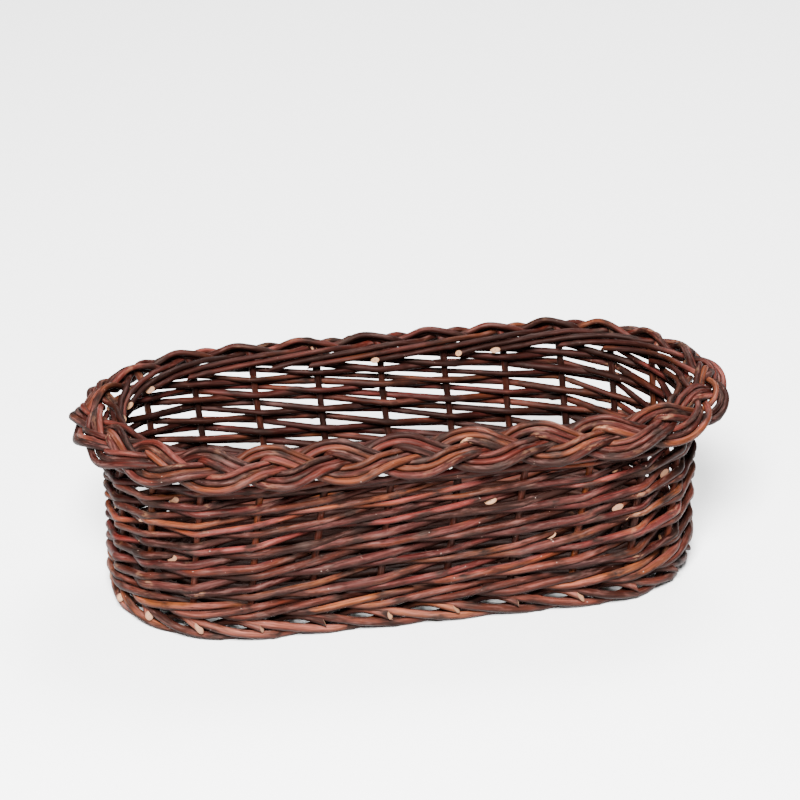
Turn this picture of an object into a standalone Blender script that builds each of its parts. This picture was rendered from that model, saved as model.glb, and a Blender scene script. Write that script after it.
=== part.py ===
"""Oblong flower basket of unpeeled willow rods, with a plaited border.

Every rod of the wall is a piece of its own. The stakes leave the base, turn up and lean in the weaving
direction. One weaver starts at each stake and climbs one level per stake, before two and behind one. A
three-rod wale holds the stakes at the bottom, a twisted border is the foot, and a three-strand plait
closes the rim. The frame is +X along the basket and +Z up, with the origin on the floor at the centre.
"""

import math

import bmesh
import bpy
from mathutils import Vector

# Middle line of the wall in plan: two straight sides and two round ends that open upwards
STRAIGHT_HALF = 0.1080
END_RADIUS = 0.074
FLARE = 0.017

# Stakes stand closer together round the ends than along the sides, and all lean the same way
STAKES = 25
STAKE_PHASE = 0.19
END_CROWDING = 0.17
LEAN = 0.105
STAKE_FOOT_RADIUS = 0.0023
STAKE_TOP_RADIUS = 0.0021
STAKE_TOP = 0.1160
TAIL_LENGTH = 0.034
TAIL_HEIGHT = 0.0160
TAIL_BEND = 0.0030

# Foot border: rods that slant down on the outside and back up inside, cut flat where they stand
FOOT_RADIUS = 0.0024
FOOT_TWIST = 0.0028
FOOT_RISE = 0.0046
FOOT_OUT = -0.0026
FOOT_CUT = 0.00035
FOOT_ROUNDS = 2

# Three-rod wale round the feet of the stakes
WALE_RADIUS = 0.0023
WALE_HEIGHT = 0.0212
WALE_RISE = 0.0034
WALE_ROUNDS = 3

# Weavers, from the thick butt at the bottom to the thin tip under the border
WEAVER_BUTT_RADIUS = 0.00245
WEAVER_TIP_RADIUS = 0.00175
WEAVER_LEVELS = 18
FIRST_LEVEL = 0.0312
LAST_LEVEL = 0.1130
LEVEL_TAPER = 0.14
START_DROP = 0.0020

# Plaited border: a flat three-strand plait that tilts down and hangs outside the wall
PLAIT_STRANDS = 3
PLAIT_OUT = 0.0097
PLAIT_HEIGHT = 0.1215
PLAIT_TILT = math.radians(30)
PLAIT_SWING = 0.0125
PLAIT_LIFT = 0.0048
STRAND_HALF_WIDTH = 0.0056
STRAND_SPREAD = 0.0008
STRAND_HALF_THICKNESS = 0.0021
CROWN_SHARE = 0.55
GROOVE_SHARE = 0.5

# Base: lengthwise sticks under a mat, woven in one spiral over and under its ribs
BASE_STICKS = 4
STICK_SPACING = 0.0150
STICK_RADIUS = 0.0023
STICK_REACH = 0.0370
MAT_HEIGHT = 0.0209
MAT_THICKNESS = 0.0024
MAT_WAVE = 0.0011
MAT_INSET = 0.0094
MAT_ROW = 0.0051
MAT_ROWS = 11

# The plait's lobes reach a little further at the right-hand end, so the whole basket moves to be centred
BALANCE_SHIFT = -0.00078

GAP = 0.0003
JOINT_GAP = 0.0006
ROD_SIDES = 6
SLANT_ROOM = 1.06
SHARP_ANGLE = math.radians(75)
TWIST_POINTS_PER_PITCH = 2
PLAIT_POINTS_PER_PITCH = 3


def plan_point(radius, share):
    """Point of the oblong and its outward normal, a share of the way round from the middle of the front."""
    arc = math.pi * radius
    length = (share % 1.0) * (4 * STRAIGHT_HALF + 2 * arc)
    if length <= STRAIGHT_HALF:
        return Vector((length, -radius, 0)), Vector((0, -1, 0))
    length -= STRAIGHT_HALF
    if length <= arc:
        angle = length / radius - math.pi / 2
        normal = Vector((math.cos(angle), math.sin(angle), 0))
        return Vector((STRAIGHT_HALF, 0, 0)) + radius * normal, normal
    length -= arc
    if length <= 2 * STRAIGHT_HALF:
        return Vector((STRAIGHT_HALF - length, radius, 0)), Vector((0, 1, 0))
    length -= 2 * STRAIGHT_HALF
    if length <= arc:
        angle = length / radius + math.pi / 2
        normal = Vector((math.cos(angle), math.sin(angle), 0))
        return Vector((-STRAIGHT_HALF, 0, 0)) + radius * normal, normal
    length -= arc
    return Vector((length - STRAIGHT_HALF, -radius, 0)), Vector((0, -1, 0))


def share_at(stake, height):
    """Share of the way round at a stake, where fractions of a stake lie between two of them."""
    turn = (stake + STAKE_PHASE) / STAKES
    share = turn + END_CROWDING * math.sin(4 * math.pi * turn) / (4 * math.pi)
    around = 4 * STRAIGHT_HALF + 2 * math.pi * END_RADIUS
    return share + LEAN * height / around


def wall_point(stake, height, out):
    """Point at a stake and a height, out from the middle of the wall (inwards where out is negative)."""
    point, normal = plan_point(END_RADIUS + FLARE * height, share_at(stake, height))
    return point + out * normal + Vector((0, 0, height))


def bark(name, red, green, blue, roughness):
    """Principled material of one kind of willow."""
    material = bpy.data.materials.new(name)
    material.use_nodes = True
    shader = material.node_tree.nodes["Principled BSDF"]
    shader.inputs["Base Color"].default_value = (red, green, blue, 1)
    shader.inputs["Roughness"].default_value = roughness
    shader.inputs["Metallic"].default_value = 0
    material.diffuse_color = (red, green, blue, 1)
    return material


def add_object(name, data, material):
    data.materials.append(material)
    thing = bpy.data.objects.new(name, data)
    thing.location.x = BALANCE_SHIFT
    bpy.context.scene.collection.objects.link(thing)
    return thing


def round_rod(name, points, radii, material, closed=False):
    """Six-sided rod along points: a poly curve with a bevel, whose radius changes from point to point."""
    curve = bpy.data.curves.new(name, "CURVE")
    curve.dimensions = "3D"
    curve.bevel_depth = 1.0
    curve.bevel_resolution = 1
    curve.use_fill_caps = True
    spline = curve.splines.new("POLY")
    spline.points.add(len(points) - 1)
    spline.use_cyclic_u = closed
    for target, point, radius in zip(spline.points, points, radii):
        target.co = (*point, 1)
        target.radius = radius
    return add_object(name, curve, material)


def swept_mesh(name, centres, sections, sideways, material, closed):
    """Mesh with one section round each centre, turned so that it lies along the sideways direction there.

    An open sweep starts at the second centre and ends at the last but one: the others only give its direction.
    """
    mesh = bpy.data.meshes.new(name)
    model = bmesh.new()
    rings = []
    count = len(centres)
    for index in range(0 if closed else 1, count if closed else count - 1):
        forward = (centres[(index + 1) % count] - centres[index - 1]).normalized()
        across = sideways[index]
        across = (across - across.dot(forward) * forward).normalized()
        up = forward.cross(across)
        rings.append([model.verts.new(centres[index] + x * across + y * up) for x, y in sections[index]])
    pairs = list(zip(rings, rings[1:]))
    if closed:
        pairs.append((rings[-1], rings[0]))
    sides = len(sections[0])
    for ring, following in pairs:
        for side in range(sides):
            beside = (side + 1) % sides
            model.faces.new((ring[side], ring[beside], following[beside], following[side]))
    if not closed:
        model.faces.new(reversed(rings[0]))
        model.faces.new(rings[-1])
    bmesh.ops.recalc_face_normals(model, faces=model.faces)
    model.to_mesh(mesh)
    model.free()
    mesh.shade_smooth()
    mesh.set_sharp_from_angle(angle=SHARP_ANGLE)
    return add_object(name, mesh, material)


def level_height(level):
    """Height of a weaving level. The levels close up towards the thin tips."""
    if level < 0:
        return FIRST_LEVEL - START_DROP
    share = level / WEAVER_LEVELS
    rise = LAST_LEVEL - FIRST_LEVEL
    return FIRST_LEVEL + rise * (share + LEVEL_TAPER * share * (1 - share))


def stake_radius(height):
    return STAKE_FOOT_RADIUS + (STAKE_TOP_RADIUS - STAKE_FOOT_RADIUS) * height / STAKE_TOP


def make_stakes(material):
    """Each stake lies under the mat with its tail, turns up at the wall and ends under the plait."""
    for stake in range(STAKES):
        points = [
            wall_point(stake, TAIL_HEIGHT, -TAIL_LENGTH),
            wall_point(stake, TAIL_HEIGHT, -TAIL_BEND),
            wall_point(stake, TAIL_HEIGHT + TAIL_BEND, 0),
            wall_point(stake, STAKE_TOP, 0),
        ]
        radii = [stake_radius(point.z) for point in points]
        round_rod(f"stake_{stake + 1:02d}", points, radii, material)


def make_weavers(materials):
    """One rod per stake, which starts inside, goes before two stakes and behind the third, and climbs."""
    for start in range(STAKES):
        points = []
        radii = []
        for level in range(-1, WEAVER_LEVELS + 1):
            share = max(level, 0) / WEAVER_LEVELS
            radius = WEAVER_BUTT_RADIUS + (WEAVER_TIP_RADIUS - WEAVER_BUTT_RADIUS) * share
            height = level_height(level)
            clear = SLANT_ROOM * (stake_radius(height) + radius + GAP)
            side = -1 if level % 3 == 2 else 1
            points.append(wall_point(start + level, height, side * clear))
            radii.append(radius)
        round_rod(f"weaver_{start + 1:02d}", points, radii, materials[start % len(materials)])


def make_wale(material):
    """Three rods' worth of wale in one rod: before two stakes and behind one, three times round."""
    clear = SLANT_ROOM * (STAKE_FOOT_RADIUS + WALE_RADIUS + GAP)
    points = []
    for step in range(TWIST_POINTS_PER_PITCH * STAKES * WALE_ROUNDS):
        stake = step / TWIST_POINTS_PER_PITCH
        turn = 2 * math.pi * stake / 3
        out = clear * (1 - 3 * math.cos(turn) - math.cos(2 * turn)) / 3
        points.append(wall_point(stake, WALE_HEIGHT - WALE_RISE * math.sin(turn), out))
    round_rod("upsett_wale", points, [WALE_RADIUS] * len(points), material, closed=True)


def make_foot(material):
    """Two-strand twist round the foot, whose one rod goes round twice, with flat soles on the floor."""
    middle = FOOT_RADIUS + FOOT_RISE - FOOT_CUT
    centres = []
    for step in range(TWIST_POINTS_PER_PITCH * STAKES * FOOT_ROUNDS):
        stake = step / TWIST_POINTS_PER_PITCH
        turn = math.pi * stake
        out = FOOT_OUT + FOOT_TWIST * math.cos(turn)
        centres.append(wall_point(stake, middle - FOOT_RISE * math.sin(turn), out))
    section = []
    for side in range(ROD_SIDES):
        angle = 2 * math.pi * (side + 0.5) / ROD_SIDES
        section.append((FOOT_RADIUS * math.cos(angle), FOOT_RADIUS * math.sin(angle)))
    count = len(centres)
    ahead = [centres[(index + 1) % count] - centres[index - 1] for index in range(count)]
    sideways = [direction.cross(Vector((0, 0, 1))) for direction in ahead]
    foot = swept_mesh("foot_border", centres, [section] * count, sideways, material, closed=True)
    model = bmesh.new()
    model.from_mesh(foot.data)
    whole = model.verts[:] + model.edges[:] + model.faces[:]
    cut = bmesh.ops.bisect_plane(model, geom=whole, plane_no=(0, 0, -1), clear_outer=True)
    soles = [piece for piece in cut["geom_cut"] if isinstance(piece, bmesh.types.BMEdge)]
    bmesh.ops.holes_fill(model, edges=soles)
    bmesh.ops.recalc_face_normals(model, faces=model.faces)
    model.to_mesh(foot.data)
    model.free()


def strand_section(half_width):
    """Outline of rods side by side, with a groove between them."""
    crown = half_width * CROWN_SHARE
    groove = STRAND_HALF_THICKNESS * GROOVE_SHARE
    upper = [(half_width, 0), (crown, STRAND_HALF_THICKNESS), (0, groove), (-crown, STRAND_HALF_THICKNESS)]
    return upper + [(-x, -y) for x, y in upper]


def make_plait(materials):
    """Three-strand plait. A strand comes over the others from either edge and goes under at the middle.

    It is wider on its way down, where a fresh stake has joined it, than on its way back up.
    """
    steps = PLAIT_POINTS_PER_PITCH * STAKES
    for strand in range(PLAIT_STRANDS):
        centres = []
        sections = []
        sideways = []
        for step in range(-1, steps + 2):
            stake = step / PLAIT_POINTS_PER_PITCH
            turn = 2 * math.pi * (stake + STAKES * strand) / PLAIT_STRANDS
            share = share_at(stake, PLAIT_HEIGHT)
            point, normal = plan_point(END_RADIUS + FLARE * PLAIT_HEIGHT, share)
            down = math.cos(PLAIT_TILT) * normal - math.sin(PLAIT_TILT) * Vector((0, 0, 1))
            above = math.sin(PLAIT_TILT) * normal + math.cos(PLAIT_TILT) * Vector((0, 0, 1))
            centre = point + PLAIT_OUT * normal + Vector((0, 0, PLAIT_HEIGHT))
            centre -= PLAIT_SWING * math.cos(turn) * down
            centre += PLAIT_LIFT * math.sin(2 * turn) * above
            centres.append(centre)
            sections.append(strand_section(STRAND_HALF_WIDTH + STRAND_SPREAD * math.sin(turn)))
            sideways.append(down)
        centres[-2] += JOINT_GAP * (centres[-3] - centres[-1]).normalized()
        name = f"plait_strand_{strand + 1}"
        swept_mesh(name, centres, sections, sideways, materials[strand], closed=False)


def make_base(stick_material, mat_material):
    """Lengthwise sticks and, on them, the mat: a sheet that follows one rod over and under its ribs."""
    for stick in range(BASE_STICKS):
        y = (stick - (BASE_STICKS - 1) / 2) * STICK_SPACING
        reach = STRAIGHT_HALF + math.sqrt(STICK_REACH**2 - y**2)
        ends = [Vector((side * reach, y, TAIL_HEIGHT)) for side in (-1, 1)]
        round_rod(f"base_stick_{stick + 1}", ends, [STICK_RADIUS] * 2, stick_material)

    mesh = bpy.data.meshes.new("base_weave")
    model = bmesh.new()
    crossings = []
    for step in range(STAKES * MAT_ROWS + 1):
        inwards = MAT_INSET + MAT_ROW * step / STAKES
        wave = MAT_WAVE if step % 2 else -MAT_WAVE
        crossings.append(model.verts.new(wall_point(step, MAT_HEIGHT + MAT_THICKNESS / 2 + wave, -inwards)))
    for first in range(len(crossings) - STAKES - 1):
        beside = first + STAKES
        model.faces.new((crossings[first], crossings[first + 1], crossings[beside + 1], crossings[beside]))
    model.faces.new(crossings[-STAKES - 1:])
    under = bmesh.ops.extrude_face_region(model, geom=model.faces[:], use_keep_orig=True)
    lowered = [piece for piece in under["geom"] if isinstance(piece, bmesh.types.BMVert)]
    bmesh.ops.translate(model, verts=lowered, vec=(0, 0, -MAT_THICKNESS))
    bmesh.ops.recalc_face_normals(model, faces=model.faces)
    model.to_mesh(mesh)
    model.free()
    add_object("base_weave", mesh, mat_material)


for old in list(bpy.data.objects):
    bpy.data.objects.remove(old, do_unlink=True)

stake_bark = bark("stake_bark", 0.115, 0.045, 0.035, 0.55)
red_bark = bark("red_bark", 0.150, 0.045, 0.035, 0.50)
brown_bark = bark("brown_bark", 0.125, 0.055, 0.040, 0.55)
grey_bark = bark("grey_bark", 0.095, 0.055, 0.052, 0.60)
plait_bark = bark("plait_bark", 0.120, 0.050, 0.042, 0.50)
base_bark = bark("base_bark", 0.090, 0.045, 0.035, 0.65)

make_stakes(stake_bark)
make_weavers([red_bark, brown_bark, grey_bark])
make_wale(brown_bark)
make_foot(brown_bark)
make_plait([plait_bark, brown_bark, red_bark])
make_base(stake_bark, base_bark)
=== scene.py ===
import math
import random

import bmesh
import bpy
import numpy
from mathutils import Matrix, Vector, noise


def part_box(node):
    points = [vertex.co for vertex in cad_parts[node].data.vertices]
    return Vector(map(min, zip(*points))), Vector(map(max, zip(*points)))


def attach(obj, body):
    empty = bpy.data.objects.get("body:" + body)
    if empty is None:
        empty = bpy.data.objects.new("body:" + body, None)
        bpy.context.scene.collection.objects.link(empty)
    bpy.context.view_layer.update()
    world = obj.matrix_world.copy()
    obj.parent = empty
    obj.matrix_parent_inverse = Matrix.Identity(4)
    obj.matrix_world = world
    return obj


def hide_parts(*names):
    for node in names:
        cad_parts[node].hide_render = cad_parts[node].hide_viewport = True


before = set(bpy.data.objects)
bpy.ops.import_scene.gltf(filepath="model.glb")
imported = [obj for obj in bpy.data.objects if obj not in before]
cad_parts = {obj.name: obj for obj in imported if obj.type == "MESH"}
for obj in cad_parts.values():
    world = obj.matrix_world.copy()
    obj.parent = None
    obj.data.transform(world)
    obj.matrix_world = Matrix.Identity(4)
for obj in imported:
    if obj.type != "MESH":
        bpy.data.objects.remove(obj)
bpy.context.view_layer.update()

# The studio: a white floor that runs out of view, a white room and two large soft boxes. The camera
# stands where the photographer's did, a little to the left of the basket and looking down into it.
VIEW_LEFT = math.radians(-12.0)
VIEW_DOWN = math.radians(24.3)
VIEW_DISTANCE = 1.915
AIM = Vector((-0.0026, 0, 0.1182))
SENSOR_WIDTH = 36
LENS_PIXELS = 3060
PICTURE_PIXELS = 800
WHITE = (1, 1, 1)
ROOM_LIGHT = 0.23
LIT_SPOT = Vector((0, 0, 0.08))
KEY_PLACE = Vector((-0.6, -1.8, 1.9))
KEY_WIDTH = 0.8
KEY_WATTS = 510
BACK_PLACE = Vector((0.7, 1.2, 2.2))
BACK_WIDTH = 1.2
BACK_WATTS = 120
FLOOR_HALF = 6
PAPER_COLOUR = (0.95, 0.95, 0.95)
PAPER_ROUGHNESS = 0.9


def softbox(name, place, width, watts):
    """A square area light at a place, turned to the basket."""
    light = bpy.data.lights.new(name, "AREA")
    light.size = width
    light.energy = watts
    lamp = bpy.data.objects.new(name, light)
    lamp.location = place
    lamp.rotation_euler = (LIT_SPOT - place).to_track_quat("-Z", "Y").to_euler()
    bpy.context.scene.collection.objects.link(lamp)


camera = bpy.data.objects.new("camera", bpy.data.cameras.new("camera"))
camera.data.sensor_width = SENSOR_WIDTH
camera.data.lens = SENSOR_WIDTH * LENS_PIXELS / PICTURE_PIXELS
backwards = Vector((
    math.sin(VIEW_LEFT) * math.cos(VIEW_DOWN),
    -math.cos(VIEW_LEFT) * math.cos(VIEW_DOWN),
    math.sin(VIEW_DOWN),
))
camera.location = AIM + VIEW_DISTANCE * backwards
camera.rotation_euler = (-backwards).to_track_quat("-Z", "Y").to_euler()
bpy.context.scene.collection.objects.link(camera)
bpy.context.scene.camera = camera

room = bpy.data.worlds.new("white_room")
room.use_nodes = True
room_light = room.node_tree.nodes["Background"]
room_light.inputs["Color"].default_value = (*WHITE, 1)
room_light.inputs["Strength"].default_value = ROOM_LIGHT
bpy.context.scene.world = room
softbox("key_softbox", KEY_PLACE, KEY_WIDTH, KEY_WATTS)
softbox("back_softbox", BACK_PLACE, BACK_WIDTH, BACK_WATTS)

floor_mesh = bpy.data.meshes.new("floor")
model = bmesh.new()
bmesh.ops.create_grid(model, x_segments=1, y_segments=1, size=FLOOR_HALF)
model.to_mesh(floor_mesh)
model.free()
floor = bpy.data.objects.new("floor", floor_mesh)
bpy.context.scene.collection.objects.link(floor)
paper = bpy.data.materials.new("white_paper")
paper.use_nodes = True
paper_shader = paper.node_tree.nodes["Principled BSDF"]
paper_shader.inputs["Base Color"].default_value = (*PAPER_COLOUR, 1)
paper_shader.inputs["Roughness"].default_value = PAPER_ROUGHNESS
floor.data.materials.append(paper)

# Stakes: 25 upright ribs of unpeeled willow, pushed into the base with their tails and turned up at the
# wall. They stand closer together round the ends and lean the way the weavers run.
STRAIGHT_HALF = 0.1080
END_RADIUS = 0.074
FLARE = 0.017
BALANCE_SHIFT = -0.00078
WALL_THICKNESS = 0.006
STAKES = 25
STAKE_PHASE = 0.19
END_CROWDING = 0.17
LEAN = 0.105
STAKE_FOOT_RADIUS = 0.0024
STAKE_TOP_RADIUS = 0.0022
STAKE_TOP = 0.1120
STAKE_CORNER = 0.004
STAKE_SEED = 200
TAIL_LENGTH = 0.034
TAIL_HEIGHT = 0.0160
SWAY_HEIGHTS = (0.035, 0.055, 0.075, 0.095)
SWAY_OUT = 0.0007
SWAY_OUT_SEED = 40
SWAY_OUT_PACE = 30
SWAY_ALONG = 0.03
SWAY_ALONG_SEED = 80
SWAY_ALONG_PACE = 25
DRIFT_STRIDE = 7.31
DRIFT_START = 3.7

# How a rod is grown: rings along its way, dents, buds with a knuckle under each, and slanting cuts.
RING_SPACING = 0.0025
FEWEST_RINGS = 4
ROD_ROUNDNESS = 4
CORNER_PARTS = (-1, -2 / 3, -1 / 3, 0, 1 / 3, 2 / 3, 1)
DENT_DEPTH = 0.05
LONG_DENTS = 55
SHORT_DENTS = 160
BUD_LENGTH = 0.0028
BUD_GAPS = (0.036, 0.052)
BUD_FIRSTS = (0.2, 1.0)
BUD_TURN = 2.4
BUD_SWELL = 0.05
BUD_TIP_SWELL = 0.26
KNUCKLE_SPREAD = 3
KNUCKLE_SCAR = 0.6
GRAIN_STARTS = (0, 50)
CUT_SLOPE = 0.5
CUT_REACH = 6
CUT_RING_GAP = 0.0001
SMALLEST = 1e-9
SHARP_EDGE = math.radians(50)
TEARING_BEND = 0.34
# Painted shade darkens the lower part of each rod and the inside of the wall. These say where it starts and
# how dark it gets.
UNDERSIDE_FROM = 0.52
UNDERSIDE_SHADE = 0.92
INSIDE_SHADE = 0.64


def plan_point(radius, share):
    """Point and outward normal on an oblong with round ends, a share of the way round from the front."""
    arc = math.pi * radius
    length = (share % 1.0) * (4 * STRAIGHT_HALF + 2 * arc)
    if length <= STRAIGHT_HALF:
        point, normal = Vector((length, -radius, 0)), Vector((0, -1, 0))
    elif length <= STRAIGHT_HALF + arc:
        angle = (length - STRAIGHT_HALF) / radius - math.pi / 2
        normal = Vector((math.cos(angle), math.sin(angle), 0))
        point = Vector((STRAIGHT_HALF, 0, 0)) + radius * normal
    elif length <= 3 * STRAIGHT_HALF + arc:
        point, normal = Vector((2 * STRAIGHT_HALF + arc - length, radius, 0)), Vector((0, 1, 0))
    elif length <= 3 * STRAIGHT_HALF + 2 * arc:
        angle = (length - 3 * STRAIGHT_HALF - arc) / radius + math.pi / 2
        normal = Vector((math.cos(angle), math.sin(angle), 0))
        point = Vector((-STRAIGHT_HALF, 0, 0)) + radius * normal
    else:
        point, normal = Vector((length - 4 * STRAIGHT_HALF - 2 * arc, -radius, 0)), Vector((0, -1, 0))
    return point + Vector((BALANCE_SHIFT, 0, 0)), normal


def share_at(stake, height):
    """How far round the wall a stake is at a height, as a share of the whole way."""
    turn = (stake + STAKE_PHASE) / STAKES
    share = turn + END_CROWDING * math.sin(4 * math.pi * turn) / (4 * math.pi)
    return share + LEAN * height / (4 * STRAIGHT_HALF + 2 * math.pi * END_RADIUS)


def wall_point(stake, height, out):
    """Point at a stake (or between two) and a height, out from the middle of the wall."""
    point, normal = plan_point(END_RADIUS + FLARE * height, share_at(stake, height))
    return point + out * normal + Vector((0, 0, height))


def wall_normal(stake, height):
    """The way that faces straight out of the wall at a stake."""
    return plan_point(END_RADIUS + FLARE * height, share_at(stake, height))[1]


def stake_radius(height):
    """Radius of a stake at a height."""
    return STAKE_FOOT_RADIUS + (STAKE_TOP_RADIUS - STAKE_FOOT_RADIUS) * height / STAKE_TOP


def drift(place, seed, pace):
    """Slow, smooth wandering along a rod, between about -1 and 1."""
    return noise.noise(Vector((place * pace, seed * DRIFT_STRIDE, DRIFT_START + seed)))


def springy(points, window):
    """Even points along a run of straight stretches, with the corners rounded as a springy rod bends."""
    corners = numpy.array([tuple(point) for point in points])
    steps = numpy.linalg.norm(numpy.diff(corners, axis=0), axis=1)
    reach = numpy.concatenate(([0.0], numpy.cumsum(steps)))
    count = max(FEWEST_RINGS, round(reach[-1] / RING_SPACING)) + 1
    lengths = numpy.linspace(0, reach[-1], count)
    near = numpy.minimum(window, numpy.minimum(lengths, reach[-1] - lengths))
    path = numpy.zeros((count, 3))
    for part in CORNER_PARTS:
        for axis in range(3):
            beside = numpy.interp(lengths + near * part, reach, corners[:, axis])
            path[:, axis] += beside / len(CORNER_PARTS)
    return path


def rod(path, butt, tip, seed, grown=0.0, start_facing=None, end_facing=None, slope=CUT_SLOPE):
    """A rod to be grown: its way, its radius at both ends, and which way its slanting cuts face."""
    return {
        "path": path,
        "radii": numpy.linspace(butt, tip, len(path)),
        "seed": seed,
        "grown": grown,
        "facings": (start_facing, end_facing),
        "slope": slope,
    }


def slant_cuts(rings, offsets, forward, along, item, chance):
    """Cuts both ends of a rod on the slant. Rings that the cut passes slide back until they lie behind it."""
    orders = numpy.arange(len(rings))
    for end, order in ((0, orders), (1, orders[::-1])):
        outwards = forward[-1] if end else -forward[0]
        facing = item["facings"][end]
        if facing is None:
            facing = Vector((chance.uniform(-1, 1), chance.uniform(-1, 1), chance.uniform(-1, 1)))
        way = numpy.array(tuple(facing))
        way -= way.dot(outwards) * outwards
        way /= max(numpy.linalg.norm(way), SMALLEST)
        for index in range(len(rings)):
            behind = along[-1] - along[index] if end else along[index]
            if behind > CUT_REACH * item["radii"][index]:
                continue
            cut = -item["slope"] * (offsets[index] @ way) - CUT_RING_GAP * order[index]
            move = cut + behind if order[index] == 0 else numpy.minimum(0, cut + behind)
            rings[index] += move[:, None] * outwards


def kinks(forward):
    """How sharply a rod turns at each ring, from 0 to 1, spread to the rings beside it."""
    sharpness = numpy.zeros(len(forward))
    turning = numpy.linalg.norm(forward[1:] - forward[:-1], axis=1)
    for index, turned in enumerate(turning):
        for beside in (-1, 0, 1, 2):
            place = min(max(index + beside, 0), len(forward) - 1)
            sharpness[place] = max(sharpness[place], min(1.0, turned / TEARING_BEND))
    return sharpness


def painted_shade_share(rings, offsets):
    """How much painted shade each point gets: dark under a rod and on the inside of the wall."""
    under = numpy.clip(UNDERSIDE_FROM - offsets[:, :, 2] / numpy.linalg.norm(offsets, axis=2), 0, 1)
    beyond = numpy.clip(numpy.abs(rings[:, :, 0] - BALANCE_SHIFT) - STRAIGHT_HALF, 0, None)
    out = numpy.hypot(beyond, rings[:, :, 1]) - END_RADIUS - FLARE * rings[:, :, 2]
    inside = numpy.clip(0.5 - out / WALL_THICKNESS, 0, 1)
    return 1 - (1 - UNDERSIDE_SHADE * under) * (1 - INSIDE_SHADE * inside)


def roughened(rings, item):
    """Gives swept rings their buds, uneven bark and slanting cuts, and returns what the bark reads."""
    path, radii, seed = item["path"], item["radii"], item["seed"]
    chance = random.Random(seed)
    shade = chance.random()
    start = chance.uniform(*GRAIN_STARTS)
    bud_gap = chance.uniform(*BUD_GAPS)
    bud_first = chance.uniform(*BUD_FIRSTS) * bud_gap
    steps = numpy.linalg.norm(numpy.diff(path, axis=0), axis=1)
    along = numpy.concatenate(([0.0], numpy.cumsum(steps)))
    lengths = item["grown"] + along
    forward = numpy.gradient(path, axis=0)
    forward /= numpy.linalg.norm(forward, axis=1, keepdims=True)

    count, sides = rings.shape[:2]
    angles = 2 * math.pi * numpy.arange(sides) / sides
    dents = numpy.array([
        [
            noise.noise(Vector((LONG_DENTS * length, seed + math.cos(angle), math.sin(angle))))
            + noise.noise(Vector((SHORT_DENTS * length, seed, 0.5)))
            for angle in angles
        ]
        for length in lengths
    ])
    order = numpy.round((lengths - bud_first) / bud_gap)
    off = (lengths - bud_first - order * bud_gap) / BUD_LENGTH
    closeness = numpy.clip(1 - off * off, 0, 1)
    knuckle = numpy.clip(1 - (off / KNUCKLE_SPREAD) ** 2, 0, 1)
    facing = numpy.clip(numpy.cos(angles[None, :] - BUD_TURN * order[:, None]), 0, 1) ** 2
    swell = 1 + DENT_DEPTH * dents + closeness[:, None] * (BUD_SWELL + BUD_TIP_SWELL * facing)
    offsets = (rings - path[:, None, :]) * swell[:, :, None]
    rings[:] = path[:, None, :] + offsets
    slant_cuts(rings, offsets, forward, along, item, chance)

    whole = numpy.ones((count, sides))
    grain = numpy.empty((count, sides, 3))
    grain[:, :, 0] = start + lengths[:, None]
    grain[:, :, 1] = radii[:, None] * numpy.cos(angles)
    grain[:, :, 2] = radii[:, None] * numpy.sin(angles)
    bud = numpy.clip(closeness[:, None] * facing + KNUCKLE_SCAR * knuckle[:, None], 0, 1)
    return grain, shade * whole, bud, kinks(forward)[:, None] * whole, painted_shade_share(rings, offsets)


def grow_rods(name, nodes, items, bark_look, roundness=ROD_ROUNDNESS):
    """Sweeps rods along their ways as one piece, roughens them, closes their cuts and hands them over.

    Each point keeps where it lies in its rod (grain), the rod's own shade (tone), its nearness to a bud
    (bud), how sharply the rod turns there (bend) and how much painted shade it gets under a rod and on
    the inside of the wall. The bark and the cut wood read them.
    """
    sides = 4 + 2 * roundness
    curve = bpy.data.curves.new(name, "CURVE")
    curve.dimensions = "3D"
    curve.bevel_depth = 1.0
    curve.bevel_resolution = roundness
    for item in items:
        spline = curve.splines.new("POLY")
        spline.points.add(len(item["path"]) - 1)
        for point, centre, radius in zip(spline.points, item["path"], item["radii"]):
            point.co = (*centre, 1)
            point.radius = radius
    sweep = bpy.data.objects.new(name + "_sweep", curve)
    mesh = bpy.data.meshes.new_from_object(sweep)
    bpy.data.objects.remove(sweep)
    bpy.data.curves.remove(curve)
    mesh.name = name

    points = numpy.empty(3 * len(mesh.vertices), dtype=numpy.float32)
    mesh.vertices.foreach_get("co", points)
    points = points.reshape(-1, 3).astype(float)
    kept = {"grain": [], "tone": [], "bud": [], "bend": [], "painted_shade": []}
    first = 0
    for item in items:
        size = len(item["path"]) * sides
        rings = points[first:first + size].reshape(len(item["path"]), sides, 3)
        for key, values in zip(kept, roughened(rings, item)):
            kept[key].append(values.ravel())
        first += size
    mesh.vertices.foreach_set("co", points.ravel())
    for key, values in kept.items():
        kind = "FLOAT_VECTOR" if key == "grain" else "FLOAT"
        layer = mesh.attributes.new(key, kind, "POINT")
        layer.data.foreach_set("vector" if key == "grain" else "value", numpy.concatenate(values))

    model = bmesh.new()
    model.from_mesh(mesh)
    open_edges = [edge for edge in model.edges if edge.is_boundary]
    for cut in bmesh.ops.holes_fill(model, edges=open_edges, sides=0)["faces"]:
        cut.material_index = 1
    bmesh.ops.recalc_face_normals(model, faces=model.faces)
    model.to_mesh(mesh)
    model.free()
    mesh.shade_smooth()
    mesh.set_sharp_from_angle(angle=SHARP_EDGE)
    mesh.materials.append(bark_look)
    mesh.materials.append(cut_wood)
    piece = bpy.data.objects.new(name, mesh)
    bpy.context.scene.collection.objects.link(piece)
    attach(piece, "root")
    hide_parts(*nodes)


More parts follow.
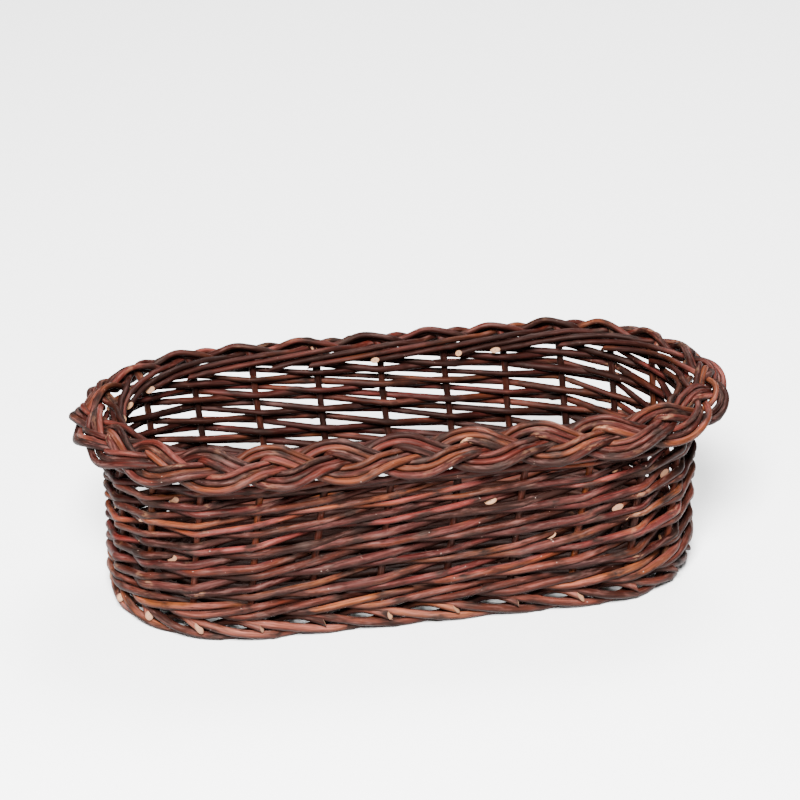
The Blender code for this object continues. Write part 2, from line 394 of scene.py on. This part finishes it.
# The bark's colours multiply or cover a rod's own colour. Each strength says how much of one shows.
BLACK = (0, 0, 0)
TONE_SHARE = 0.70
SLOW_SHARE = 1.40
SHADE_OFFSET = 0.55
STREAK_STRENGTH = 0.8
STREAK_SHADES = (
    (0.32, (0.18, 0.12, 0.11)),
    (0.52, (0.88, 0.85, 0.85)),
    (0.72, (2.1, 1.85, 1.80)),
)
WEATHER_SPREAD = 7.3
WEATHER_SHADES = (
    (0.0, (0.40, 0.32, 0.30)),
    (0.5, (0.88, 0.82, 0.80)),
    (1.0, (1.30, 1.20, 1.12)),
)
BLOOM_STRENGTH = 0.34
BLOOM_COLOUR = (0.17, 0.080, 0.068)
SCUFF_STRENGTH = 0.8
SCUFF_COLOUR = (0.010, 0.0034, 0.0024)
TORN_STRENGTH = 0.8
TORN_COLOUR = (0.36, 0.18, 0.10)
KNOT_SPREAD = 1.6
CRUST_CONTRAST = 6.0
CRUST_OFFSET = -2.4
CRUST_STRENGTH = 0.95
CRUST_SHADES = (
    (0.44, (0.003, 0.0013, 0.0010)),
    (0.66, (0.024, 0.014, 0.011)),
)
SPECK_STRENGTH = 0.5
SPECK_COLOUR = (0.42, 0.30, 0.25)
# Near black, painted as shade under each rod and on the inside of the wall.
PAINTED_SHADE_COLOUR = (0.0040, 0.0008, 0.0004)
BARK_ROUGHNESS = 0.45
STREAK_ROUGHNESS = 0.25
SCUFF_ROUGHNESS = 0.2
SCUFF_RELIEF = 0.6
RELIEF_STRENGTH = 0.4
RELIEF_DEPTH = 0.0004
BARK_SPECULAR = 0.10
BARK_SPECULAR_TINT = (1, 0.72, 0.66)
PITH_SCALE = 400
CUT_SHADES = (
    (0.08, (0.13, 0.05, 0.020)),
    (0.20, (0.31, 0.16, 0.075)),
    (0.62, (0.24, 0.115, 0.052)),
    (0.90, (0.11, 0.044, 0.020)),
)
OLD_CUT_STRENGTH = 0.85
OLD_CUT_COLOUR = (0.12, 0.05, 0.025)
CUT_ROUGHNESS = 0.75


class Recipe:
    """Short calls for wiring a material: each adds a node and returns its output."""

    def __init__(self, name):
        self.material = bpy.data.materials.new(name)
        self.material.use_nodes = True
        self.tree = self.material.node_tree
        self.shader = self.tree.nodes["Principled BSDF"]

    def node(self, kind, settings=None, **inputs):
        made = self.tree.nodes.new(kind)
        for key, value in (settings or {}).items():
            setattr(made, key, value)
        for key, value in inputs.items():
            socket = made.inputs[key.replace("_", " ")]
            if isinstance(value, bpy.types.NodeSocket):
                self.tree.links.new(value, socket)
            else:
                socket.default_value = value
        return made

    def attribute(self, name, output="Fac"):
        return self.node("ShaderNodeAttribute", {"attribute_name": name}).outputs[output]

    def stretched(self, grain, along, across):
        made = self.node("ShaderNodeVectorMath", {"operation": "MULTIPLY"})
        self.tree.links.new(grain, made.inputs[0])
        made.inputs[1].default_value = (along, across, across)
        return made.outputs[0]

    def patches(self, grain, along, across, detail, rough=0.5):
        """Cloudy patches, so many to a metre along the rod and across it."""
        vector = self.stretched(grain, along, across)
        made = self.node("ShaderNodeTexNoise", Vector=vector, Scale=1.0, Detail=detail, Roughness=rough)
        return made.outputs["Fac"]

    def ramp(self, factor, stops):
        made = self.node("ShaderNodeValToRGB", Fac=factor)
        elements = made.color_ramp.elements
        while len(elements) < len(stops):
            elements.new(0.5)
        for element, (place, colour) in zip(elements, stops):
            element.position = place
            element.color = (*colour, 1)
        return made.outputs["Color"]

    def above(self, factor, low, high):
        """Nothing up to the low value, all from the high one, and a soft edge between."""
        return self.ramp(factor, [(low, BLACK), (high, WHITE)])

    def maths(self, operation, first, second=None, third=None, clamp=False):
        made = self.node("ShaderNodeMath", {"operation": operation, "use_clamp": clamp})
        for socket, value in zip(made.inputs, (first, second, third)):
            if isinstance(value, bpy.types.NodeSocket):
                self.tree.links.new(value, socket)
            elif value is not None:
                socket.default_value = value
        return made.outputs[0]

    def mix(self, factor, first, second, blend="MIX"):
        """Two colours mixed. Sockets 0, 6, 7 and output 2 are the node's factor and colours."""
        made = self.node("ShaderNodeMix", {"data_type": "RGBA", "blend_type": blend})
        for socket, value in ((made.inputs[0], factor), (made.inputs[6], first), (made.inputs[7], second)):
            if isinstance(value, bpy.types.NodeSocket):
                self.tree.links.new(value, socket)
            else:
                socket.default_value = value if isinstance(value, float) else (*value, 1)
        return made.outputs[2]

    def covered(self, colour, share, strength, cover):
        """A colour covered by another where a share is high."""
        return self.mix(self.maths("MULTIPLY", share, strength), colour, cover)

    def wire(self, output, socket):
        self.tree.links.new(output, self.shader.inputs[socket])


def bark(name, deep, red, rust, pink, grey):
    """Unpeeled willow: streaked along the rod, blotched where it was scuffed, torn where it was kinked."""
    recipe = Recipe(name)
    grain = recipe.attribute("grain", "Vector")
    tone = recipe.attribute("tone")
    bud = recipe.attribute("bud")
    bend = recipe.attribute("bend")

    # Every rod has its own place in the palette, and wanders through it along its length.
    slow = recipe.patches(grain, along=17, across=80, detail=3)
    own = recipe.maths("MULTIPLY", tone, TONE_SHARE)
    shade = recipe.maths("ADD", own, recipe.maths("MULTIPLY", slow, SLOW_SHARE))
    shade = recipe.maths("SUBTRACT", shade, SHADE_OFFSET, clamp=True)
    colour = recipe.ramp(shade, [(0.10, deep), (0.34, red), (0.56, pink), (0.74, rust), (0.94, grey)])

    # Fine streaks run along it, and some rods are paler or darker all over.
    streak = recipe.patches(grain, along=55, across=1050, detail=4, rough=0.65)
    colour = recipe.mix(STREAK_STRENGTH, colour, recipe.ramp(streak, STREAK_SHADES), "MULTIPLY")
    weather = recipe.maths("FRACT", recipe.maths("MULTIPLY", tone, WEATHER_SPREAD))
    colour = recipe.mix(1.0, colour, recipe.ramp(weather, WEATHER_SHADES), "MULTIPLY")

    # A pinkish bloom lies on it in places, and dark scuffs in others.
    bloom = recipe.patches(grain, along=70, across=420, detail=4, rough=0.7)
    colour = recipe.covered(colour, recipe.above(bloom, 0.51, 0.70), BLOOM_STRENGTH, BLOOM_COLOUR)
    scuff = recipe.patches(grain, along=48, across=200, detail=5, rough=0.65)
    scuffs = recipe.above(scuff, 0.54, 0.64)
    colour = recipe.covered(colour, scuffs, SCUFF_STRENGTH, SCUFF_COLOUR)

    # Where it was kinked round a stake, the bark is torn here and there down to the pale wood.
    tears = recipe.above(recipe.patches(grain, along=190, across=520, detail=3, rough=0.6), 0.50, 0.58)
    some = recipe.above(recipe.patches(grain, along=21, across=21, detail=1), 0.50, 0.60)
    torn = recipe.maths("MULTIPLY", tears, recipe.maths("MULTIPLY", bend, bend))
    colour = recipe.covered(colour, recipe.maths("MULTIPLY", some, torn), TORN_STRENGTH, TORN_COLOUR)

    # Round some buds sits a dark crust, and fine pale specks are strewn over all of it.
    knot = recipe.maths("MULTIPLY", bud, KNOT_SPREAD, clamp=True)
    crusted = recipe.maths("MULTIPLY_ADD", scuff, CRUST_CONTRAST, CRUST_OFFSET, clamp=True)
    smudge = recipe.maths("MULTIPLY", knot, crusted)
    colour = recipe.covered(colour, smudge, CRUST_STRENGTH, recipe.ramp(bloom, CRUST_SHADES))
    specks = recipe.above(recipe.patches(grain, along=560, across=560, detail=1), 0.780, 0.795)
    colour = recipe.covered(colour, specks, SPECK_STRENGTH, SPECK_COLOUR)
    # Painted shade: the colour goes over towards near black under each rod and on the inside of the wall.
    colour = recipe.mix(recipe.attribute("painted_shade"), colour, PAINTED_SHADE_COLOUR)
    recipe.wire(colour, "Base Color")

    rough = recipe.maths("MULTIPLY_ADD", streak, STREAK_ROUGHNESS, BARK_ROUGHNESS)
    recipe.wire(recipe.maths("MULTIPLY_ADD", scuffs, SCUFF_ROUGHNESS, rough), "Roughness")
    relief = recipe.maths("MULTIPLY_ADD", scuff, SCUFF_RELIEF, streak)
    bump = recipe.node("ShaderNodeBump", Height=relief, Strength=RELIEF_STRENGTH, Distance=RELIEF_DEPTH)
    recipe.wire(bump.outputs["Normal"], "Normal")
    recipe.shader.inputs["Specular IOR Level"].default_value = BARK_SPECULAR
    recipe.shader.inputs["Specular Tint"].default_value = (*BARK_SPECULAR_TINT, 1)
    return recipe.material


def pale_wood(name):
    """Cut willow: tan, darker at the pith and under the bark. The older cuts have turned brown."""
    recipe = Recipe(name)
    from_middle = recipe.stretched(recipe.attribute("grain", "Vector"), 0, PITH_SCALE)
    from_pith = recipe.node("ShaderNodeVectorMath", {"operation": "LENGTH"}, Vector=from_middle)
    fresh = recipe.ramp(from_pith.outputs["Value"], CUT_SHADES)
    aged = recipe.above(recipe.attribute("tone"), 0.20, 0.80)
    recipe.wire(recipe.covered(fresh, aged, OLD_CUT_STRENGTH, OLD_CUT_COLOUR), "Base Color")
    recipe.shader.inputs["Roughness"].default_value = CUT_ROUGHNESS
    return recipe.material


cut_wood = pale_wood("cut_wood")
stake_bark = bark(
    "stake_bark",
    deep=(0.0130, 0.0025, 0.0011),
    red=(0.0416, 0.0083, 0.0036),
    rust=(0.0910, 0.0232, 0.0055),
    pink=(0.0746, 0.0185, 0.0103),
    grey=(0.0295, 0.0103, 0.0070),
)

for stake in range(STAKES):
    bend = 2 * STAKE_FOOT_RADIUS
    points = [
        wall_point(stake, TAIL_HEIGHT, -TAIL_LENGTH),
        wall_point(stake, TAIL_HEIGHT, -bend),
        wall_point(stake, TAIL_HEIGHT + bend, 0),
    ]
    for height in SWAY_HEIGHTS:
        out = SWAY_OUT * drift(height, SWAY_OUT_SEED + stake, SWAY_OUT_PACE)
        ahead = SWAY_ALONG * drift(height, SWAY_ALONG_SEED + stake, SWAY_ALONG_PACE)
        points.append(wall_point(stake + ahead, height, out))
    points.append(wall_point(stake, STAKE_TOP, 0))
    item = rod(springy(points, STAKE_CORNER), STAKE_FOOT_RADIUS, STAKE_TOP_RADIUS, STAKE_SEED + stake)
    node = f"stake_{stake + 1:02d}"
    grow_rods("willow_" + node, [node], [item], stake_bark)

# Weavers: one rod starts inside at each stake with its pale butt, goes before two stakes and behind the
# third, and climbs one level at each, thinning from butt to tip. Pulled tight, it kinks at the stakes.
# Where one ran out on the way up, a short new rod was pushed in behind a stake, its cut end showing.
WEAVER_BUTT_RADIUS = 0.0026
WEAVER_TIP_RADIUS = 0.0020
WEAVER_STOUTNESS = (0.80, 1.12)
WEAVER_CORNER = 0.0036
WEAVER_SEED = 300
WEAVER_CHANCE_SEED = 500
WEAVER_LEVELS = 18
FIRST_LEVEL = 0.0312
LAST_LEVEL = 0.1130
LEVEL_TAPER = 0.14
LEVEL_WANDER = 0.0015
KINK_WANDER = 0.03
START_DROP = 0.0020
TUCKED_LEVELS = 2
TUCKED_HEIGHT = 0.1193
TUCKED_END = 0.4
TUCKED_OUT = 0.0010
JOIN_RADIUS = 0.0021
JOIN_THINNING = 0.6
JOIN_CHANCE = 0.6
JOIN_LEVELS = (5, 8, 11, 14)
JOIN_DROP = 0.0022
JOIN_ROUTE = (
    (-0.46, -0.0014, 0.0006),
    (-0.10, -0.0002, -0.0040),
    (0.10, 0.0004, -0.0040),
    (0.80, 0.0052, 0.0026),
)
JOIN_END_WANDER = 0.06
JOIN_SEED = 900
JOIN_SLOPE = 1.6
UPWARDS = Vector((0, 0, 1))
CUT_LIFT = 0.5 * UPWARDS

weaver_barks = {
    "red_bark": bark(
        "red_bark",
        deep=(0.0108, 0.0011, 0.0006),
        red=(0.0445, 0.0048, 0.0035),
        rust=(0.0889, 0.0202, 0.0061),
        pink=(0.0889, 0.0202, 0.0179),
        grey=(0.0297, 0.0113, 0.0113),
    ),
    "brown_bark": bark(
        "brown_bark",
        deep=(0.0099, 0.0021, 0.0006),
        red=(0.0370, 0.0071, 0.0036),
        rust=(0.0889, 0.0260, 0.0077),
        pink=(0.0790, 0.0234, 0.0168),
        grey=(0.0297, 0.0122, 0.0102),
    ),
    "grey_bark": bark(
        "grey_bark",
        deep=(0.0090, 0.0021, 0.0011),
        red=(0.0320, 0.0063, 0.0054),
        rust=(0.0742, 0.0208, 0.0081),
        pink=(0.0643, 0.0203, 0.0173),
        grey=(0.0297, 0.0128, 0.0133),
    ),
}


def level_height(level):
    """Height of a weaver at a level. The levels lie a little closer together towards the top."""
    if level < 0:
        return FIRST_LEVEL - START_DROP
    share = level / WEAVER_LEVELS
    rise = LAST_LEVEL - FIRST_LEVEL
    return FIRST_LEVEL + rise * (share + LEVEL_TAPER * share * (1 - share))


def weaver_clearance(level, height):
    """How far a weaver's middle lies from the middle of the stake that it passes."""
    share = max(level, 0) / WEAVER_LEVELS
    return stake_radius(height) + WEAVER_BUTT_RADIUS + (WEAVER_TIP_RADIUS - WEAVER_BUTT_RADIUS) * share


for start in range(STAKES):
    chance = random.Random(WEAVER_CHANCE_SEED + start)
    stoutness = chance.uniform(*WEAVER_STOUTNESS)
    points = []
    for level in range(-1, WEAVER_LEVELS + TUCKED_LEVELS + 1):
        height = min(level_height(level) + chance.uniform(-LEVEL_WANDER, LEVEL_WANDER), TUCKED_HEIGHT)
        clear = weaver_clearance(level, height)
        side = -1 if level % 3 == 2 else 1
        stake = start + level + chance.uniform(-KINK_WANDER, KINK_WANDER)
        points.append(wall_point(stake, height, side * clear))
    points.append(wall_point(start + WEAVER_LEVELS + TUCKED_LEVELS + TUCKED_END, TUCKED_HEIGHT, TUCKED_OUT))
    outwards = wall_normal(start - 1, FIRST_LEVEL)
    items = [rod(
        springy(points, WEAVER_CORNER),
        stoutness * WEAVER_BUTT_RADIUS,
        stoutness * WEAVER_TIP_RADIUS,
        WEAVER_SEED + start,
        start_facing=-outwards,
        end_facing=outwards,
    )]

    # The new rod's cut end wanders a little, and the rest lies close behind its stake.
    join = start + chance.choice(JOIN_LEVELS)
    height = level_height(join - start) - JOIN_DROP
    wander = chance.uniform(-JOIN_END_WANDER, JOIN_END_WANDER)
    points = []
    for ahead, rise, out in JOIN_ROUTE:
        points.append(wall_point(join + ahead + wander, height + rise, out))
        wander = 0
    if chance.random() < JOIN_CHANCE:
        items.append(rod(
            springy(points, WEAVER_CORNER),
            JOIN_RADIUS,
            JOIN_THINNING * JOIN_RADIUS,
            JOIN_SEED + start,
            start_facing=wall_normal(join, height) + CUT_LIFT,
            slope=JOIN_SLOPE,
        ))
    node = f"weaver_{start + 1:02d}"
    slot = ("red_bark", "brown_bark", "grey_bark")[start % 3]
    grow_rods("willow_" + node, [node], items, weaver_barks[slot])

# Upsett wale: three rods pulled tight round the feet of the stakes, each before two and behind one, so
# that they lie over each other like a rope.
WALE_RADIUS = 0.0025
WALE_BUTT_RADIUS = 1.08 * WALE_RADIUS
WALE_TIP_RADIUS = 0.9 * WALE_RADIUS
WALE_CORNER = 0.005
WALE_HEIGHT = 0.0212
WALE_RISE = 0.0034
WALE_SEED = 400

items = []
for strand in range(3):
    clear = STAKE_FOOT_RADIUS + WALE_RADIUS
    first_inside = -STAKES * strand % 3
    last_inside = STAKES + (-STAKES * (strand + 1) % 3)
    points = []
    for step in range(4 * (last_inside - first_inside) + 2):
        stake = first_inside + step / 4
        turn = 2 * math.pi * (stake + STAKES * strand) / 3
        out = clear * (1 - 3 * math.cos(turn) - math.cos(2 * turn)) / 3
        points.append(wall_point(stake, WALE_HEIGHT - WALE_RISE * math.sin(turn), out))
    items.append(rod(springy(points, WALE_CORNER), WALE_BUTT_RADIUS, WALE_TIP_RADIUS, WALE_SEED + strand))
grow_rods("willow_upsett_wale", ["upsett_wale"], items, weaver_barks["brown_bark"])

# Foot border: a rod comes out under the wale at each stake, slants down before the next one, runs under
# and behind the one after it, comes up inside and leans out at the third, where its pale end is cut.
FOOT_RADIUS = 0.0026
FOOT_TIP_RADIUS = 0.92 * FOOT_RADIUS
FOOT_CORNER = 0.007
FOOT_ROUTE = (
    (-0.45, -0.0045, 0.0168),
    (-0.10, 0.0008, 0.0142),
    (0.35, 0.0034, 0.0106),
    (0.80, 0.0036, 0.0063),
    (1.30, 0.0022, 0.0032),
    (1.80, -0.0012, 0.0027),
    (2.20, -0.0048, 0.0044),
    (2.50, -0.0060, 0.0092),
    (2.75, -0.0030, 0.0132),
    (3.00, 0.0018, 0.0118),
    (3.17, 0.0048, 0.0096),
)
FOOT_WANDER = 0.03
FOOT_OUT_WANDER = 0.0004
FOOT_FACINGS = (-0.4, 0.3, 1, 1)
FOOT_SLOPES = (0.6, 1.4)
FOOT_SEED = 620
FOOT_CHANCE_SEED = 600

# The foot's bark is a paler copy of the others: painted light, for the light that the white floor throws up
# onto the foot.
foot_bark_painted_light = bark(
    "foot_bark_painted_light",
    deep=(0.0260, 0.0070, 0.0040),
    red=(0.0676, 0.0173, 0.0106),
    rust=(0.1353, 0.0448, 0.0191),
    pink=(0.1248, 0.0427, 0.0300),
    grey=(0.0520, 0.0233, 0.0191),
)

items = []
for start in range(STAKES):
    chance = random.Random(FOOT_CHANCE_SEED + start)
    points = []
    for ahead, out, height in FOOT_ROUTE:
        out += chance.uniform(-FOOT_OUT_WANDER, FOOT_OUT_WANDER)
        stake = start + ahead + chance.uniform(-FOOT_WANDER, FOOT_WANDER)
        points.append(wall_point(stake, height, out))
    facing = chance.choice(FOOT_FACINGS) * wall_normal(start + FOOT_ROUTE[-1][0], 0)
    items.append(rod(
        springy(points, FOOT_CORNER),
        FOOT_RADIUS,
        FOOT_TIP_RADIUS,
        FOOT_SEED + start,
        end_facing=facing + UPWARDS,
        slope=chance.uniform(*FOOT_SLOPES),
    ))
grow_rods("willow_foot_border", ["foot_border"], items, foot_bark_painted_light)

# Plait border: every stake is bent over into one of three strands and lies lowest in it. The strand
# swings out and down and back up again, and drops its oldest rod on the inside, cut on the slant.
BORDER_OUT = 0.0097
BORDER_HEIGHT = 0.1215
BORDER_TILT = math.radians(30)
END_REACH = 0.0028
STRAND_SWING = 0.0106
STRAND_LIFT = 0.0033
STRAIGHTENING = 0.09
END_CALM = 0.22
EDGE_ROLL = math.radians(15)
ROD_PITCH = 0.0045
CLIMB_GATHER = 0.14
MIDDLE_SINK = 0.0018
PLAIT_RADIUS = 0.0024
PLAIT_TIP_RADIUS = 0.0018
PLAIT_CORNER = 0.003
PLAIT_CHANCE_SEED = 700
PLAIT_WANDER = 0.0009
PLAIT_WANDER_SEED = 90
PLAIT_WANDER_PACE = 1.1
STAKE_LAG = 0.15
FIRST_AGE = 0.12
AGE_STEP = 0.125
LOOK_AHEAD = 0.05
JUNCTION = 0.1085
BEND_HEIGHT = 0.1165
ELBOW = (
    (-0.02, -0.0058, -0.0040),
    (-0.01, -0.0057, -0.0004),
    (0.04, -0.0054, 0.0020),
)
DROP_AGE = 8.60
DROP_ROUTE = (
    (0.35, 0.1253, -0.0049),
    (0.80, 0.1238, -0.0059),
    (1.35, 0.1217, -0.0068),
    (1.90, 0.1196, -0.0077),
)
DROP_LENGTH = 2.65
DROP_WANDERS = (-0.4, 0.15)
DROP_HEIGHT = 0.1169
DROP_OUT = -0.0088
DROP_FACINGS = (-1, -1, 0.6)
DROP_SLOPES = (0.9, 1.7)
DROP_CHANCE_SEED = 760
STAKE_GROWN = 0.127

# The plait's bark is a darker copy of the stakes' bark, though these are the same rods: painted shade, to
# hold down the light that the upturned border catches.
plait_bark = bark(
    "plait_bark",
    deep=(0.0082, 0.0013, 0.0005),
    red=(0.0324, 0.0047, 0.0029),
    rust=(0.0771, 0.0203, 0.0063),
    pink=(0.0691, 0.0176, 0.0141),
    grey=(0.0244, 0.0096, 0.0089),
)


def border_point(stake, across, above):
    """Point of the border: across runs out and down over it, above stands on its outer face."""
    point, normal = plan_point(END_RADIUS + FLARE * BORDER_HEIGHT, share_at(stake, BORDER_HEIGHT))
    down = math.cos(BORDER_TILT) * normal - math.sin(BORDER_TILT) * UPWARDS
    face = math.sin(BORDER_TILT) * normal + math.cos(BORDER_TILT) * UPWARDS
    out = BORDER_OUT + END_REACH * normal.x ** 2
    return point + out * normal + BORDER_HEIGHT * UPWARDS + across * down + above * face, face


def strand_point(stake, age):
    """Middle of a strand, age pitches after it left the inner edge. It swings less round the ends."""
    turn = 2 * math.pi * age / 3
    roundness = wall_normal(stake, BORDER_HEIGHT).x ** 2
    straightening = STRAIGHTENING * (1 - roundness)
    swing = (math.cos(turn) + straightening * math.cos(3 * turn)) / (1 + straightening)
    lift = math.sin(2 * turn) - 1.5 * straightening * math.sin(6 * turn)
    return border_point(stake, -STRAND_SWING * (1 - END_CALM * roundness) * swing, STRAND_LIFT * lift)


def lane(age):
    """A rod's place across its strand: it moves up a lane each time a new one joins at the inner edge."""
    eased = 0.0
    for joined in (3, 6):
        part = min(max(age - joined + 0.5, 0), 1)
        eased += part * part * (3 - 2 * part)
    return ROD_PITCH * (1 - eased)


def plait_path(stake):
    """Way of one bent-down stake: up from the wall, through the border, and inwards to its cut end."""
    chance = random.Random(PLAIT_CHANCE_SEED + stake)
    points = [wall_point(stake, JUNCTION, 0), wall_point(stake, BEND_HEIGHT, 0)]
    for ahead, across, above in ELBOW:
        points.append(border_point(stake + ahead, across, above)[0])
    age = STAKE_LAG + FIRST_AGE
    while age < DROP_AGE:
        place = stake - STAKE_LAG + age
        middle, face = strand_point(place, age)
        forward = strand_point(place + LOOK_AHEAD, age + LOOK_AHEAD)[0] - middle
        sideways = forward.normalized().cross(face)
        turn = 2 * math.pi * age / 3
        roll = EDGE_ROLL * math.cos(turn) ** 2
        beside = math.cos(roll) * sideways - math.sin(roll) * face
        wander = PLAIT_WANDER * drift(age, PLAIT_WANDER_SEED + stake, PLAIT_WANDER_PACE)
        climb = max(-math.sin(turn), 0)
        across = lane(age) * (1 - CLIMB_GATHER * climb) + wander
        sunk = MIDDLE_SINK * climb * (1 - abs(lane(age)) / ROD_PITCH)
        points.append(middle + across * beside + (wander - sunk) * face)
        age += AGE_STEP
    last = stake - STAKE_LAG + DROP_AGE
    for ahead, height, out in DROP_ROUTE:
        points.append(wall_point(last + ahead, height, out))
    points.append(wall_point(last + DROP_LENGTH + chance.uniform(*DROP_WANDERS), DROP_HEIGHT, DROP_OUT))
    return points


for strand in range(3):
    items = []
    for stake in range(strand, STAKES, 3):
        chance = random.Random(DROP_CHANCE_SEED + stake)
        facing = chance.choice(DROP_FACINGS) * wall_normal(stake + DROP_AGE + DROP_LENGTH, BORDER_HEIGHT)
        item = rod(
            springy(plait_path(stake), PLAIT_CORNER),
            PLAIT_RADIUS,
            PLAIT_TIP_RADIUS,
            STAKE_SEED + stake,
            grown=STAKE_GROWN,
            end_facing=facing + CUT_LIFT,
            slope=chance.uniform(*DROP_SLOPES),
        )
        item["radii"][0] = STAKE_TOP_RADIUS
        items.append(item)
    slot = ("plait_bark", "brown_bark", "red_bark")[strand]
    node = f"plait_strand_{strand + 1}"
    grow_rods("willow_" + node, [node], items, plait_bark)

# Base: four sticks lie along the basket with thin ribs across them, and one weaver winds from the wall
# inwards, over and under the ribs, until it meets the middle.
STICKS = 4
STICK_RADIUS = 0.0023
STICK_CORNER = 0.002
STICK_SLOPE = 0.1
STICK_SEED = 800
MAT_HEIGHT = 0.0209
MAT_WAVE = 0.0013
MAT_ROD_RADIUS = 0.0025
MAT_CORNER = 0.006
MAT_SEED = 850
MAT_ROW = 0.0052
MAT_INSET = 0.0094
MAT_START = -0.08
MAT_ROWS = 12.93
ROW_CHANGE = 0.14
RIB_RADIUS = 0.0013
RIB_OVERHANG = 0.004
RIB_INNER_END = 0.062
RIB_SEED = 860
MAT_ROUNDNESS = 2

# The mat's bark is a darker copy of the stakes' bark: painted shade for the floor of the basket, which lies
# in shade inside the wall.
base_bark = bark(
    "base_bark",
    deep=(0.0072, 0.0017, 0.0012),
    red=(0.0208, 0.0047, 0.0028),
    rust=(0.0468, 0.0132, 0.0046),
    pink=(0.0416, 0.0114, 0.0074),
    grey=(0.0208, 0.0087, 0.0072),
)


def mat_inset(turn):
    """How far from the wall the mat's weaver lies: it keeps its row, and changes to the next in front."""
    row = max(math.floor(turn), 0)
    part = max(0, 1 - (row + 1 - turn) / ROW_CHANGE)
    return MAT_INSET + MAT_ROW * (row + part * part * (3 - 2 * part))


for stick in range(1, STICKS + 1):
    node = f"base_stick_{stick}"
    low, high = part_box(node)
    middle = (low[1] + high[1]) / 2
    ends = [Vector((low[0], middle, TAIL_HEIGHT)), Vector((high[0], middle, TAIL_HEIGHT))]
    path = springy(ends, STICK_CORNER)
    item = rod(path, STICK_RADIUS, STICK_RADIUS, STICK_SEED + stick, slope=STICK_SLOPE)
    grow_rods("willow_" + node, [node], [item], stake_bark)

points = []
for step in range(round(2 * STAKES * MAT_START), round(2 * STAKES * MAT_ROWS)):
    stake = step / 2
    wave = -MAT_WAVE * math.cos(math.pi * stake)
    points.append(wall_point(stake, MAT_HEIGHT + wave, -mat_inset(stake / STAKES)))
items = [rod(springy(points, MAT_CORNER), MAT_ROD_RADIUS, MAT_ROD_RADIUS, MAT_SEED)]
for stake in range(STAKES):
    outer_end = wall_point(stake, MAT_HEIGHT, RIB_OVERHANG - MAT_INSET)
    inner_end = wall_point(stake, MAT_HEIGHT, -RIB_INNER_END)
    items.append(rod(springy([outer_end, inner_end], STICK_CORNER), RIB_RADIUS, RIB_RADIUS, RIB_SEED + stake))
grow_rods("willow_base_weave", ["base_weave"], items, base_bark, roundness=MAT_ROUNDNESS)
